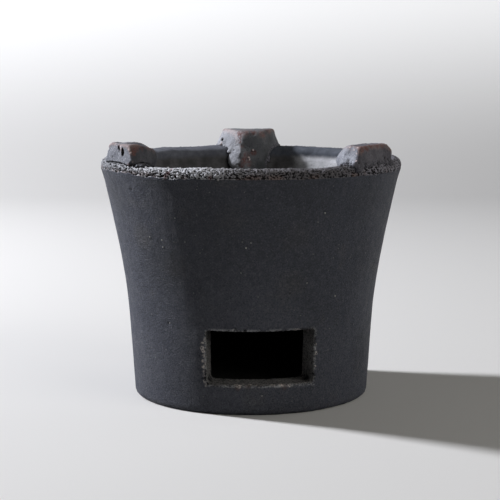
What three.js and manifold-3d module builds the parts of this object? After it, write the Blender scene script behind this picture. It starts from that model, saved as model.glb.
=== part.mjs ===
// Clay charcoal tea stove: a thick flared clay wall luted round a floor slab, a coarse coil along its rim,
// three wedge lugs that hold the kettle clear of the fire, and a loose perforated grate on a ledge above the
// ash chamber. Millimetres, +Z up, origin on the table at the middle of the foot. The ash door faces -Y.

import * as THREE from "three";
import { mergeVertices } from "three/addons/utils/BufferGeometryUtils.js";
import Module from "manifold-3d";

const wasm = await Module();
wasm.setup();

// Wall
const RIM_WALL = 14; // thickness of the clay at the rim, measured level
const FOOT_WALL = 16.5; // and at the foot
const FOOT_RADIUS = 62.6;
const FOOT_EDGE = 1.3; // rounding where the wall meets the table
const WAIST_RADIUS = 65.6; // end of the straight lower wall
const WAIST_HEIGHT = 45;
const FLARE_HEIGHT = 68; // where the lower wall's line crosses the line of the flared top
const WALL_TOP_RADIUS = 79.4;
const WALL_HEIGHT = 120.7; // up to the joint with the rim coil

// Floor slab, luted inside the foot
const FLOOR_RECESS = 1.5; // its underside stays clear of the table
const FLOOR_THICKNESS = 10.5;

// Rim coil
const COIL_HEIGHT = 6.6; // up to its crest
const COIL_PROUD = 0.6; // how far its belly stands outside the wall
const COIL_BELLY = 2.4; // height of the belly above the joint
const COIL_SHOULDER = 4.8; // from the belly in to the crest
const COIL_FALL = 3; // from the crest down to its upright inner face

// Ash door. Its jambs turn in towards the fire, the right one more than the left.
const SILL_HEIGHT = 15.8;
const DOOR_HEIGHT = 27.8;
const DOOR_LEFT = 22.9; // from the middle to each jamb, in the plane that touches the foot's front
const DOOR_RIGHT = 34.4;
const DOOR_LEFT_DEG = 7;
const DOOR_RIGHT_DEG = 20;
const DOOR_CORNER = 1.6;

// Ledge coil inside the wall, and the grate that lies on it
const LEDGE_TOP = 54;
const LEDGE_HEIGHT = 9.5; // at the wall
const LEDGE_WIDTH = 7.5;
const LEDGE_LIP = 5; // thickness of its inner edge
const LEDGE_ROUNDING = 1.2;
const GRATE_THICKNESS = 10;
const GRATE_PLAY = 2; // loose fit inside the wall
const GRATE_EDGE = 0.9; // rounding of the rim and of the holes
const HOLE_RADIUS = 4.4;
const HOLE_PITCH = 15.5;
const HOLE_RINGS = 2; // hexagonal rings of holes round the middle one

// Kettle lugs: each stands on the coil and runs down inside the wall. They are pinched by hand, so no two
// are alike.
const BACK_LUG_HEIGHT = 9.9; // above the rim's crest
const LEFT_LUG_HEIGHT = 8.9;
const RIGHT_LUG_HEIGHT = 8.7;
const BACK_LUG_WIDTH = 32; // across the top, at the heel
const LEFT_LUG_WIDTH = 27;
const RIGHT_LUG_WIDTH = 28.5;
const BACK_LUG_FLAT = 12; // length of the flat top
const LEFT_LUG_FLAT = 14;
const RIGHT_LUG_FLAT = 10.5;
const LUG_SPREAD = 3; // of a side, from the top down to the rim
const LUG_SMEAR = 5.5; // the same where clay is smeared out along the front of the rim
const LUG_SPREAD_CURVE = 1.5; // power by which the spread fades upwards
const BACK_LUG_SKEW = 1.8; // its nose points a little off the stove's axis
const LUG_SETBACK = 1.8; // heel inside the widest line of the rim
const LUG_HEEL_DRAFT = 1.1;
const LUG_REACH = 7; // nose inside the coil
const LUG_NOSE_WIDTH = 13.5;
const LUG_BULGE = 2; // of each side, outwards
const LUG_BULGE_PLACE = 0.33; // share of the way from the nose to the heel
const LUG_NOSE_TAPER = 1; // each side, from the rim up to the top
const LUG_STEM = 21; // below the rim's crest
const LUG_STEM_TAPER = 2.5; // each side, over the stem
const LUG_STEM_EDGE = 1.5; // thickness left at the stem's lower end
const LUG_CORNER = 3.2;
const LUG_EDGE = 1.3; // rounding of the top
const LUGS = [
  {
    name: "kettle_lug_back",
    azimuth: 91.2,
    height: BACK_LUG_HEIGHT,
    width: BACK_LUG_WIDTH,
    flat: BACK_LUG_FLAT,
    skew: BACK_LUG_SKEW,
    spreads: [LUG_SPREAD, LUG_SPREAD],
  },
  {
    name: "kettle_lug_left",
    azimuth: 208.6,
    height: LEFT_LUG_HEIGHT,
    width: LEFT_LUG_WIDTH,
    flat: LEFT_LUG_FLAT,
    skew: 0,
    spreads: [LUG_SPREAD, LUG_SMEAR],
  },
  {
    name: "kettle_lug_right",
    azimuth: 324.8,
    height: RIGHT_LUG_HEIGHT,
    width: RIGHT_LUG_WIDTH,
    flat: RIGHT_LUG_FLAT,
    skew: 0,
    spreads: [LUG_SMEAR, LUG_SPREAD],
  },
];

const LUTE_GAP = 0.3; // the joint between two luted pieces

// Fineness of the round forms
const ROUND = 72;
const HOLE_ROUND = 14;
const FLARE_STEPS = 9;
const ARC_STEPS = 5;
const CORNER_STEPS = 3;
const SHORT_SIDE_SHARE = 0.45; // the most of a side that the rounding at either end takes
const NOSE_STEPS = 5;

const rimTop = WALL_HEIGHT + COIL_HEIGHT;
const rimRadius = WALL_TOP_RADIUS + COIL_PROUD;
const crestRadius = rimRadius - COIL_SHOULDER;
const coilInner = WALL_TOP_RADIUS - RIM_WALL;
const degrees = THREE.MathUtils.degToRad;
const { clamp, lerp } = THREE.MathUtils;

// The wall's outline as (radius, height): straight from the foot to the waist, then one curve that leaves
// the waist along the same line and flares to the rim.
const foot = new THREE.Vector2(FOOT_RADIUS, 0);
const waist = new THREE.Vector2(WAIST_RADIUS, WAIST_HEIGHT);
const flare = foot.clone().lerp(waist, FLARE_HEIGHT / WAIST_HEIGHT);
const wallTop = new THREE.Vector2(WALL_TOP_RADIUS, WALL_HEIGHT);
const outline = [foot, ...new THREE.QuadraticBezierCurve(waist, flare, wallTop).getPoints(FLARE_STEPS)];

// Radius of the wall's outer face at a height, and of its inner face.
function outerRadius(height) {
  const above = Math.max(1, outline.findIndex((point) => point.y >= height - 1e-9));
  const [low, high] = [outline[above - 1], outline[above]];
  return lerp(low.x, high.x, (height - low.y) / (high.y - low.y));
}

function innerRadius(height) {
  return outerRadius(height) - lerp(FOOT_WALL, RIM_WALL, height / WALL_HEIGHT);
}

// Points on the wall's inner face between two heights, from the lower one up, drawn in by a gap.
function innerFace(low, high, gap) {
  const heights = [low, ...outline.map((point) => point.y).filter((y) => y > low && y < high), high];
  return heights.map((height) => new THREE.Vector2(innerRadius(height) - gap, height));
}

// Part of an ellipse in the plane of a profile, between two angles in degrees from the outward direction.
function arc(centreRadius, centreHeight, width, height, from, to) {
  return new THREE.EllipseCurve(
    centreRadius, centreHeight, width, height, degrees(from), degrees(to), to < from,
  ).getPoints(ARC_STEPS);
}

// Turns a profile, listed anticlockwise with the axis on its left, about +Z. One off the axis is closed.
function revolve(profile) {
  const closed = profile[0].x > 0 ? [...profile, profile[0].clone()] : profile;
  return new THREE.LatheGeometry(closed, ROUND).rotateX(Math.PI / 2);
}

// A polygon with each corner replaced by a curve that starts and ends at a distance from it, or less on
// short sides.
function roundCorners(corners, distance) {
  const part = (from, to) => Math.min(distance / from.distanceTo(to), SHORT_SIDE_SHARE);
  return corners.flatMap((corner, i) => {
    const before = corners.at(i - 1);
    const after = corners[(i + 1) % corners.length];
    const start = corner.clone().lerp(before, part(corner, before));
    const end = corner.clone().lerp(after, part(corner, after));
    return new THREE.QuadraticBezierCurve(start, corner, end).getPoints(CORNER_STEPS);
  });
}

// A closed skin over a stack of rings with equal numbers of points, anticlockwise seen from the last one.
function loft(rings) {
  const count = rings[0].length;
  const total = (ring) => ring.reduce((sum, point) => sum.add(point), new THREE.Vector3());
  const middle = (ring) => total(ring).divideScalar(count);
  const points = [...rings.flat(), middle(rings[0]), middle(rings.at(-1))];
  const [firstMiddle, lastMiddle] = [points.length - 2, points.length - 1];
  const lastRing = (rings.length - 1) * count;
  const faces = [];
  for (let i = 0; i < count; i++) {
    const next = (i + 1) % count;
    for (let base = 0; base < lastRing; base += count) {
      faces.push(base + i, base + next, base + count + next);
      faces.push(base + i, base + count + next, base + count + i);
    }
    faces.push(firstMiddle, next, i, lastMiddle, lastRing + i, lastRing + next);
  }
  return new THREE.BufferGeometry().setFromPoints(points).setIndex(faces);
}

// A geometry as a solid that can be cut, and back again.
function solidOf(geometry) {
  const bare = new THREE.BufferGeometry().setAttribute("position", geometry.getAttribute("position"));
  const merged = mergeVertices(bare.setIndex(geometry.index), 1e-4);
  return new wasm.Manifold(
    new wasm.Mesh({
      numProp: 3,
      vertProperties: merged.getAttribute("position").array,
      triVerts: new Uint32Array(merged.index.array),
    }),
  );
}

function geometryOf(solid) {
  const { vertProperties, triVerts } = solid.getMesh();
  const geometry = new THREE.BufferGeometry()
    .setAttribute("position", new THREE.BufferAttribute(vertProperties, 3))
    .setIndex(new THREE.BufferAttribute(triVerts, 1))
    .toNonIndexed();
  geometry.computeVertexNormals();
  return geometry;
}

// The thick wall: rounded foot, flared outside, thinning a little upwards, the ash door cut through in front.
function wallGeometry() {
  const footArc = arc(outerRadius(FOOT_EDGE) - FOOT_EDGE, FOOT_EDGE, FOOT_EDGE, FOOT_EDGE, -90, 0);
  const outside = [...footArc, ...outline.slice(1)];
  const inside = innerFace(0, WALL_HEIGHT, 0).reverse();
  const shell = solidOf(revolve([...outside, ...inside]));
  return geometryOf(shell.subtract(solidOf(doorCutter())));
}

// The ash door's hole: it narrows inwards between its turned jambs.
function doorCutter() {
  const section = (distance) => {
    const short = outerRadius(FOOT_EDGE) - distance;
    const left = -DOOR_LEFT + short * Math.tan(degrees(DOOR_LEFT_DEG));
    const right = DOOR_RIGHT - short * Math.tan(degrees(DOOR_RIGHT_DEG));
    const lintel = SILL_HEIGHT + DOOR_HEIGHT;
    const corners = [[left, SILL_HEIGHT], [right, SILL_HEIGHT], [right, lintel], [left, lintel]];
    return roundCorners(corners.map(([x, z]) => new THREE.Vector2(x, z)), DOOR_CORNER)
      .map((point) => new THREE.Vector3(point.x, -distance, point.y));
  };
  const insideWall = innerRadius(SILL_HEIGHT) / 2;
  const outsideWall = rimRadius;
  return loft([section(insideWall), section(outsideWall)]);
}

function floorGeometry() {
  const top = FLOOR_RECESS + FLOOR_THICKNESS;
  const edge = innerFace(FLOOR_RECESS, top, LUTE_GAP);
  return revolve([new THREE.Vector2(0, FLOOR_RECESS), ...edge, new THREE.Vector2(0, top)]);
}

// The coil's profile from its belly over the crest to its inner face, grown on every side by a gap.
function coilSurface(gap) {
  const belly = WALL_HEIGHT + COIL_BELLY;
  const shoulder = arc(crestRadius, belly, COIL_SHOULDER + gap, rimTop - belly + gap, 0, 90);
  const fall = arc(crestRadius, rimTop - COIL_FALL, crestRadius - coilInner + gap, COIL_FALL + gap, 90, 180);
  return [...shoulder, ...fall.slice(1)];
}

function coilGeometry() {
  const belly = WALL_HEIGHT + COIL_BELLY;
  const underBelly = arc(WALL_TOP_RADIUS, belly, COIL_PROUD, COIL_BELLY, -90, 0).slice(0, -1);
  return revolve([new THREE.Vector2(coilInner, WALL_HEIGHT), ...underBelly, ...coilSurface(0)]);
}

// The ledge: a coil smoothed into the wall's taper, flat on top, sloping underneath.
function ledgeGeometry() {
  const inner = innerRadius(LEDGE_TOP) - LUTE_GAP - LEDGE_WIDTH;
  const rounding = LEDGE_TOP - LEDGE_ROUNDING;
  const nose = arc(inner + LEDGE_ROUNDING, rounding, LEDGE_ROUNDING, LEDGE_ROUNDING, 90, 180);
  const underside = new THREE.Vector2(inner, LEDGE_TOP - LEDGE_LIP);
  return revolve([underside, ...innerFace(LEDGE_TOP - LEDGE_HEIGHT, LEDGE_TOP, LUTE_GAP), ...nose]);
}

// The grate: a disc with hexagonal rings of round holes.
function grateGeometry() {
  const radius = innerRadius(LEDGE_TOP) - GRATE_PLAY;
  const disc = new THREE.Shape().absarc(0, 0, radius - GRATE_EDGE, 0, 2 * Math.PI);
  const body = new THREE.ExtrudeGeometry(disc, {
    depth: GRATE_THICKNESS - 2 * GRATE_EDGE,
    bevelThickness: GRATE_EDGE,
    bevelSize: GRATE_EDGE,
    bevelSegments: 2,
    curveSegments: ROUND,
  }).translate(0, 0, LEDGE_TOP + GRATE_EDGE);
  return geometryOf(solidOf(body).subtract(wasm.Manifold.union(holeCentres().map(holeCutter))));
}

function holeCentres() {
  const centres = [new THREE.Vector2(0, 0)];
  for (let ring = 1; ring <= HOLE_RINGS; ring++) {
    for (let side = 0; side < 6; side++) {
      const turn = side * Math.PI / 3;
      const corner = new THREE.Vector2(ring * HOLE_PITCH, 0).rotateAround(centres[0], turn);
      const along = new THREE.Vector2(HOLE_PITCH, 0).rotateAround(centres[0], turn + 2 * Math.PI / 3);
      for (let step = 0; step < ring; step++) centres.push(corner.clone().addScaledVector(along, step));
    }
  }
  return centres;
}

// A hole through the grate, opened out at both faces.
function holeCutter(centre) {
  const top = LEDGE_TOP + GRATE_THICKNESS;
  const wide = HOLE_RADIUS + GRATE_EDGE;
  const half = [
    [0, LEDGE_TOP - 1], [wide, LEDGE_TOP - 1], [wide, LEDGE_TOP], [HOLE_RADIUS, LEDGE_TOP + GRATE_EDGE],
    [HOLE_RADIUS, top - GRATE_EDGE], [wide, top], [wide, top + 1], [0, top + 1],
  ];
  const profile = half.map(([radius, height]) => new THREE.Vector2(radius, height));
  const hole = new THREE.LatheGeometry(profile, HOLE_ROUND).rotateX(Math.PI / 2);
  return solidOf(hole.translate(centre.x, centre.y, 0));
}

// One level cut through a lug: a rounded wedge, wide at the heel over the rim and narrow at the nose over the
// fire. The lug's heel lies along +X here, with the stove's axis at the origin. inset draws the outline in.
function lugSection(lug, height, inset = 0) {
  const rise = clamp((height - rimTop) / lug.height, 0, 1);
  const drop = clamp((rimTop - height) / LUG_STEM, 0, 1);
  const heelFoot = rimRadius - LUG_SETBACK;
  const noseFoot = coilInner - LUG_REACH;
  const noseTop = heelFoot - LUG_HEEL_DRAFT - lug.flat;
  const stemEnd = innerRadius(rimTop - LUG_STEM) - LUTE_GAP - LUG_STEM_EDGE;
  const curl = (share) => 1 - Math.sqrt(1 - share * share);
  const nose = noseFoot + curl(rise) * (noseTop - noseFoot) + curl(drop) * (stemEnd - noseFoot) + inset;
  const heel = heelFoot - rise * LUG_HEEL_DRAFT - inset;
  const taper = LUG_STEM_TAPER * drop + inset;
  const noseHalf = LUG_NOSE_WIDTH / 2 - LUG_NOSE_TAPER * rise - taper;
  const fade = (1 - rise) ** LUG_SPREAD_CURVE;
  const [right, left] = lug.spreads.map((spread) => lug.width / 2 + spread * fade - taper);
  const side = (noseY, heelY) => {
    const from = new THREE.Vector2(nose, noseY);
    const to = new THREE.Vector2(heel, heelY);
    const bulge = from.clone().lerp(to, LUG_BULGE_PLACE);
    bulge.y += Math.sign(heelY) * LUG_BULGE;
    return [from, bulge, to];
  };
  const corners = [...side(-noseHalf - lug.skew, -right), ...side(noseHalf - lug.skew, left).reverse()];
  return roundCorners(corners, LUG_CORNER).map((point) => new THREE.Vector3(point.x, point.y, height));
}

// A lug: the stem curls out of the wall, the head rises with drafted sides to a flat top with a rounded
// edge. What it stands on is cut out of it, so that it saddles the coil and the wall with an even joint.
function lugGeometry(lug) {
  const top = rimTop + lug.height;
  const rings = [];
  for (let i = NOSE_STEPS; i > 0; i--) {
    const drop = Math.sin(i / NOSE_STEPS * Math.PI / 2);
    rings.push(lugSection(lug, rimTop - drop * LUG_STEM));
  }
  for (let i = 0; i < NOSE_STEPS; i++) {
    const rise = Math.sin(i / NOSE_STEPS * Math.PI / 2);
    rings.push(lugSection(lug, rimTop + rise * (lug.height - LUG_EDGE)));
  }
  for (let i = 0; i <= CORNER_STEPS; i++) {
    const angle = i / CORNER_STEPS * Math.PI / 2;
    const height = top - LUG_EDGE + LUG_EDGE * Math.sin(angle);
    rings.push(lugSection(lug, height, LUG_EDGE * (1 - Math.cos(angle))));
  }
  return geometryOf(solidOf(loft(rings)).subtract(solidOf(seatCutter())));
}

// All that a lug stands on or against: the wall and the coil, grown by the joint, out past the lug's heel.
function seatCutter() {
  const bottom = rimTop - LUG_STEM - LUG_EDGE;
  const outside = rimRadius + RIM_WALL;
  const belly = WALL_HEIGHT + COIL_BELLY;
  const inside = innerFace(bottom, WALL_HEIGHT, LUTE_GAP).reverse();
  const corners = [new THREE.Vector2(outside, bottom), new THREE.Vector2(outside, belly)];
  return revolve([...corners, ...coilSurface(LUTE_GAP), ...inside]);
}

// Fired clays: smoked slate grey outside, a gritty mix for the rim, ash-bleached where the fire has been.
const slateClay = new THREE.MeshStandardMaterial({ color: 0x4a4f57, roughness: 0.82, metalness: 0 });
const gritClay = new THREE.MeshStandardMaterial({ color: 0x5b5a5a, roughness: 0.95, metalness: 0 });
const lugClay = new THREE.MeshStandardMaterial({ color: 0x5d5a5b, roughness: 0.88, metalness: 0 });
const firedClay = new THREE.MeshStandardMaterial({ color: 0x7a6f68, roughness: 0.92, metalness: 0 });

function piece(name, geometry, material) {
  const mesh = new THREE.Mesh(geometry, material);
  mesh.name = name;
  return mesh;
}

const stove = new THREE.Group();
stove.add(
  piece("stove_wall", wallGeometry(), slateClay),
  piece("floor_slab", floorGeometry(), firedClay),
  piece("rim_coil", coilGeometry(), gritClay),
  piece("grate_ledge", ledgeGeometry(), firedClay),
  piece("fire_grate", grateGeometry(), firedClay),
);
for (const lug of LUGS) {
  const mesh = piece(lug.name, lugGeometry(lug), lugClay);
  mesh.rotation.z = degrees(lug.azimuth);
  stove.add(mesh);
}

export default stove;
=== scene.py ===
import math

import bpy
import numpy as np
from mathutils import Matrix, Vector
from mathutils.bvhtree import BVHTree
from mathutils.kdtree import KDTree


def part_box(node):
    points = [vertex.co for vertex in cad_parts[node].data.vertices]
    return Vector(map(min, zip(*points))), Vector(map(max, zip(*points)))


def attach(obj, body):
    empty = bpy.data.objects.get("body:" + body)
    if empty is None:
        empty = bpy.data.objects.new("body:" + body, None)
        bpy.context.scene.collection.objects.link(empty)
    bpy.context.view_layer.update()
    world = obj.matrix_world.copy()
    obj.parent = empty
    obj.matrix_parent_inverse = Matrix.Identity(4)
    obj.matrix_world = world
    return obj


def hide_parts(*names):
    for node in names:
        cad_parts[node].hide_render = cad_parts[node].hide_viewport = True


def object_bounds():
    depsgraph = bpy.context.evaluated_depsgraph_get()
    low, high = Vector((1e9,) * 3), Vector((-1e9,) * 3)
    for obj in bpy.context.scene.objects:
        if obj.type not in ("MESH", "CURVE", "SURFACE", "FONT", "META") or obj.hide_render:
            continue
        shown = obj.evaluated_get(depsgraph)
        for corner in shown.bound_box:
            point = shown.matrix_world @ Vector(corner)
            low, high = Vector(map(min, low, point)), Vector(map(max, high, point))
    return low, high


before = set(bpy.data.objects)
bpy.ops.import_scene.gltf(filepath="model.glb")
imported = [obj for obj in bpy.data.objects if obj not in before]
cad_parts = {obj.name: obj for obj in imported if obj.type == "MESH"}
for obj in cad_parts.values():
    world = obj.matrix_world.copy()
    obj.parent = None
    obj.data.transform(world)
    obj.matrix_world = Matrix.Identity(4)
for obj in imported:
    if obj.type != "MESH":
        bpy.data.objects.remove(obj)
cad_low, cad_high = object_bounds()

MM = 0.001
WEIGHT_LEVELS = 64
SHARP_ANGLE = math.radians(40)
ONE_SKIN = 0.001 * MM
SCREW_JOIN = 0.01 * MM

# Camera at the photograph's angle, and the photograph's frame in pixels
CAMERA_PLACE = Vector((-0.0005, -0.842, 0.1919))
CAMERA_DOWN = math.radians(7.82)
LENS = 113.5
SENSOR = 36
PHOTO_SIDE = 500

# Fineness of the modelled clay
WALL_GRAIN = 1.45 * MM
LUG_GRAIN = 0.3 * MM
HEARTH_GRAIN = 0.8 * MM
COIL_TURNS = 1380
COIL_GRAIN = 0.36 * MM
COIL_HIDDEN_GRAIN = 1.4 * MM

# Studio: the sheet of paper, its colours and the lamps
FLOOR_SIZE = 6
BACKDROP_DISTANCE = 1.6
PALE_FLOOR = (0.84, 0.81, 0.75)
PALE_BACKDROP = (0.95, 0.93, 0.88)
BACKDROP_GLOW = 0.45
COVE = 0.6
COVE_STEPS = 24
BOUNCE = (0.16, 0.16, 0.16)
AIR = ((0.93, 0.96, 1, 1), 0.06)
LAMP_AIM = Vector((0, 0, 0.07))
LAMPS = (
    ("key", (-1.3, 0.473, 1.057), 0.14, 40, (0.86, 0.895, 1)),
    ("fill_behind", (1.236, 0.45, 0.549), 0.9, 1.8, (1, 1, 1)),
    ("fill_before", (0.972, -0.816, 0.662), 0.9, 4.2, (1, 1, 1)),
)

# Wall: what counts as its back, its thickness and its inner face, and the shoulder under the rim
BACK_FROM = 20 * MM
WALL_LEAST = 5 * MM
INNER_DEPTH = 9 * MM
SKIN_DEPTH = 0.8 * MM
WALL_WAVES = ((38 * MM, 0.5 * MM), (7 * MM, 0.12 * MM))
SHOULDER = 2 * MM
SHOULDER_TOP = (122.5 * MM, 114 * MM)
SHOULDER_FOOT = (96 * MM, 112 * MM)
LUG_CLEARANCE = (2 * MM, 7 * MM)

# Ash door: where its edges and its jambs lie, and how far the fine clay reaches round its edges
DOOR_FRONT = -30 * MM
DOOR_LEVELS = (15 * MM, 50 * MM)
DOOR_STEP = 0.5 * MM
DOOR_REACH = 4 * MM
DOOR_FINE = 3.5 * MM
OUTER_DEPTH = 2 * MM
OUTER_FINE = 2.4 * MM
CRISP_REACH = (3.5 * MM, 2.2 * MM)
BROKEN_REACH = (1.8 * MM, 0.3 * MM)
CHIPPED_REACH = (1.7 * MM, 0.5 * MM)
JAMB_FRONT = -38 * MM
JAMB_LEVELS = (12 * MM, 48 * MM)

# Rim coil: where it is torn and gritty, by directions in degrees. It laps down over the wall's inner face
# by steps in millimetres (outwards, up), and over the outer face as a skirt (share of its drop, proud)
GRIT_FROM = 186
GRIT_TO = 318
GRIT_FADE = 9
QUIET_GRIT = 0.4
GRIT_SINK = 0.45 * MM
SETTLING = 240
TORN_BAND = (-6.5 * MM, -4 * MM)
SMEAR_FADE = (-0.7 * MM, 0.1 * MM)
CREST = (124.8 * MM, 126.6 * MM)
GRIT_OVER = 3.6 * MM
SMEAR_TOP = 121.8 * MM
LAP = ((0, 2), (-0.12, 0.9), (-0.4, 0), (-0.8, -0.9), (-0.95, -2), (0.3, -3.5))
SKIRT = 7 * MM
SKIRT_STEPS = ((1, -1.5), (1, -0.25), (0.6, 0.02), (0.3, 0.15), (0, 0.3))
SKIRT_TOP = (122.4 * MM, 120.7 * MM)
SMEAR_WAVES = ((0.25, 7, 1), (0.3, 23, 2), (0.25, 61, 0))
EVEN_FROM = (262, 232)
HIGH_UNTIL = (230, 222)

# Tears in the coil: size and depth in millimetres, and settings
TEARS = (
    (3.4, 1.4, {}), (1.1, -1, {"kind": "VORONOI"}), (1.5, 1.2, {"noise_depth": 1}),
    (0.7, 0.9, {"noise_depth": 1}),
)

# Crest: how far and where it sags in front, and dips of (direction, width in degrees, depth in millimetres)
SAG = 0.7
SAG_FROM = (219, 227)
SAG_TO = (318, 310)
SAG_LEVELS = (122.5 * MM, 127.3 * MM)
DIPS = [(233, 11, 0.8), (296, 8, 0.5), (103, 9, -0.75), (133, 6, -0.5), (68, 8, -0.3)]

# Clay smeared along the joint of a lug and the coil, and the crack that is left there
WELD_OUTSIDE = 5 * MM
WELD_INSIDE = MM
TOUCHING = 0.5 * MM
CRACK = (0.75 * MM, 0.3 * MM)
CRACK_REACH = 1.2 * MM

# Height of soot and ash on the clay inside the rim, painted shade to the left and painted light to the
# right, and the dark of cracks and the painted shade of crevices
FIRE_TOP = 0.1222
CRACK_AND_SHADE_DARK = (0.01, 0.009, 0.009)

# Lugs: the sizes of their lumps, and where wear begins on their arrises and grit ends at their feet
LUMP_SIZES = (9 * MM, 2.8 * MM, 0.9 * MM)
WEAR_LEVELS = (129.5 * MM, 133.5 * MM)
FOOT_REACH = (3.5 * MM, 0.8 * MM)

# Marks by the photograph's pixels: across, down, then reach and strength, depth or way in millimetres
LEFT_LUG = dict(
    # Painted shade and painted light: the next two colours are a dark copy of the clay for faces turned from
    # the lamp and a pale copy for faces turned to it; the later entry of a direction and two shares says
    # which faces take the pale copy.
    shaded_smoky=((0.07, 0.07, 0.076), (0.118, 0.116, 0.122)),
    chalky=((0.215, 0.218, 0.236), (0.325, 0.328, 0.346)),
    speckled=1,
    key_lit_side=((-0.88, 0.35, 0.32), 0.1, 0.55),
    lumps=(1, 0.45, 0.35),
    weld=0,
    fills=[
        (138, 165), (140, 164.5), (142, 164.3), (144, 164.2), (146, 164.3), (148, 164.6), (150, 165),
        (152, 165.4), (154, 165.8), (137, 166.6), (139.5, 166.3), (142, 166), (144.5, 166), (147, 166),
        (149.5, 166.2), (152, 166.6),
    ],
    pulls=[
        (148, 144, 11, (0.4, 0.2, -1.9)), (153, 154, 6, (1.6, 0.9, 0)), (110, 144, 3, (-0.3, 0, -0.3)),
        (131.5, 167, 3.5, (1, 1.8, 0.3)),
    ],
    bumps=[(120.4, 147, 0.8, 0.3), (120.7, 149, 0.8, 0.35), (121, 151, 0.7, 0.3)],
    pits=[
        (118.5, 147.2, 1, 1.4), (119, 148.8, 1, 1.4), (119.8, 150.2, 0.9, 1), (121.9, 149.6, 1.3, 1.8),
        (122.5, 151.4, 1.6, 2.3), (122.7, 153, 1.6, 2.3), (122.6, 154.5, 1.2, 1.5), (106.5, 149.5, 0.7, 0.3),
        (112.5, 157, 0.8, 0.3), (126.5, 158, 0.7, 0.3),
    ],
    rust=[
        (134, 150.5, 2.2, 0.9), (133.5, 153.5, 2, 0.7), (137, 149, 2, 0.6), (142, 148.6, 2.2, 0.4),
        (119, 146.2, 0.8, 0.8), (128, 164.5, 1.6, 0.5), (121, 162.6, 1.4, 0.4),
    ],
    # Pale cream clay, and where the marks sit on the bumps, painted highlights of facets that catch the
    # lamp.
    cream=[
        (128.8, 149.5, 1.5, 0.7), (130.2, 152.5, 1.2, 0.6), (120.5, 146.2, 1, 0.8), (120.8, 148.8, 0.8, 0.8),
        (121.1, 151, 0.7, 0.7), (110.5, 143.6, 1.5, 0.6), (115, 144.6, 1.5, 0.4), (132.5, 162, 1, 0.4),
    ],
    seam=1,
)
BACK_LUG = dict(
    # Painted shade and painted light: the next two colours are a dark copy of the clay for faces turned from
    # the lamp and a pale copy for faces turned to it; the later entry of a direction and two shares says
    # which faces take the pale copy.
    shaded_smoky=((0.154, 0.156, 0.16), (0.25, 0.25, 0.254)),
    chalky=((0.37, 0.37, 0.385), (0.54, 0.537, 0.55)),
    speckled=0.5,
    key_lit_side=((-0.9, -0.35, 0.25), 0.52, 0.74),
    lumps=(0.7, 0.22, 0.18),
    weld=1,
    pulls=[
        (222, 141, 6, (-2.1, -0.3, -0.9)), (228, 147, 5, (-0.5, -0.5, -1.5)), (233, 158, 7, (-1.2, -1, 0)),
        (277, 141, 4, (0.5, 0, -0.4)), (234, 161, 5, (-0.9, -0.8, 0)), (236, 167, 6, (-2.2, -1.7, 0)),
        (241, 164, 6, (0.4, -2, 0.2)), (241, 157, 4.5, (0.2, -0.7, 0)), (239.5, 152.5, 4.5, (0, -1.5, 0)),
    ],
    bumps=[(252.8, 150.2, 0.9, 0.9), (249, 158.6, 0.9, 0.9), (220.6, 144.8, 1.3, 0.7)],
    pits=[
        (222.2, 139.6, 1.1, 1), (222.6, 138.6, 0.8, 0.7), (222.8, 147.2, 0.9, 1.3), (224.4, 147.7, 0.9, 1.4),
        (226, 148.2, 0.9, 1.3), (227.4, 148.7, 0.8, 0.9), (253.5, 134.5, 0.9, 0.3), (238, 165, 1, 0.4),
        (234, 150.5, 0.8, 0.3),
    ],
    rust=[
        (238.6, 132.6, 1.5, 1.4), (239.4, 134.6, 1.5, 1.4), (239.8, 137, 1.4, 1.4), (239.9, 139.5, 1.3, 1.3),
        (239.8, 142, 1.2, 1), (242, 133.5, 2, 0.6), (246, 133, 3, 0.5), (253, 132.5, 2.5, 0.6),
        (262.5, 134, 3, 0.5), (268, 130.5, 3, 0.5), (242, 146, 2, 0.5), (253.5, 152.5, 2.4, 0.8),
        (246.5, 155, 2.6, 0.7), (244.5, 160.5, 3, 0.8), (249, 163.5, 2.6, 0.6), (241.5, 165.5, 2.2, 0.8),
    ],
    # Pale cream clay, and where the marks sit on the bumps, painted highlights of facets that catch the
    # lamp.
    cream=[
        (252.8, 150, 1, 0.8), (248.8, 157.4, 0.9, 0.9), (249.6, 159.6, 0.9, 1), (220.6, 144.8, 1, 0.9),
        (225.5, 130.6, 3, 0.4), (228.5, 131, 3, 0.42), (231.5, 132, 3, 0.42), (234, 133.5, 2.8, 0.42),
        (236, 136, 2.4, 0.42), (236.5, 139, 2, 0.4), (236.8, 142, 2, 0.34), (221.6, 142.6, 1, 0.6),
    ],
    # Painted light: pale marks on the stem's lower left, where shadow falls on it.
    pale=[
        (233.5, 153, 3.4, 0.8), (234.5, 157, 3.4, 0.8), (235, 161, 3.4, 0.9), (235.5, 165, 3.4, 1),
        (236, 168, 3.4, 1),
    ],
    # Painted shade: dark marks on the lug's right side and foot, where its shadow falls.
    soot=[
        (268, 152, 9, 0.7), (268, 160, 9, 0.95), (262, 168, 8, 0.9), (269, 140, 8, 0.55), (251, 141, 5, 0.2),
    ],
    seam=0.4,
)
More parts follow.
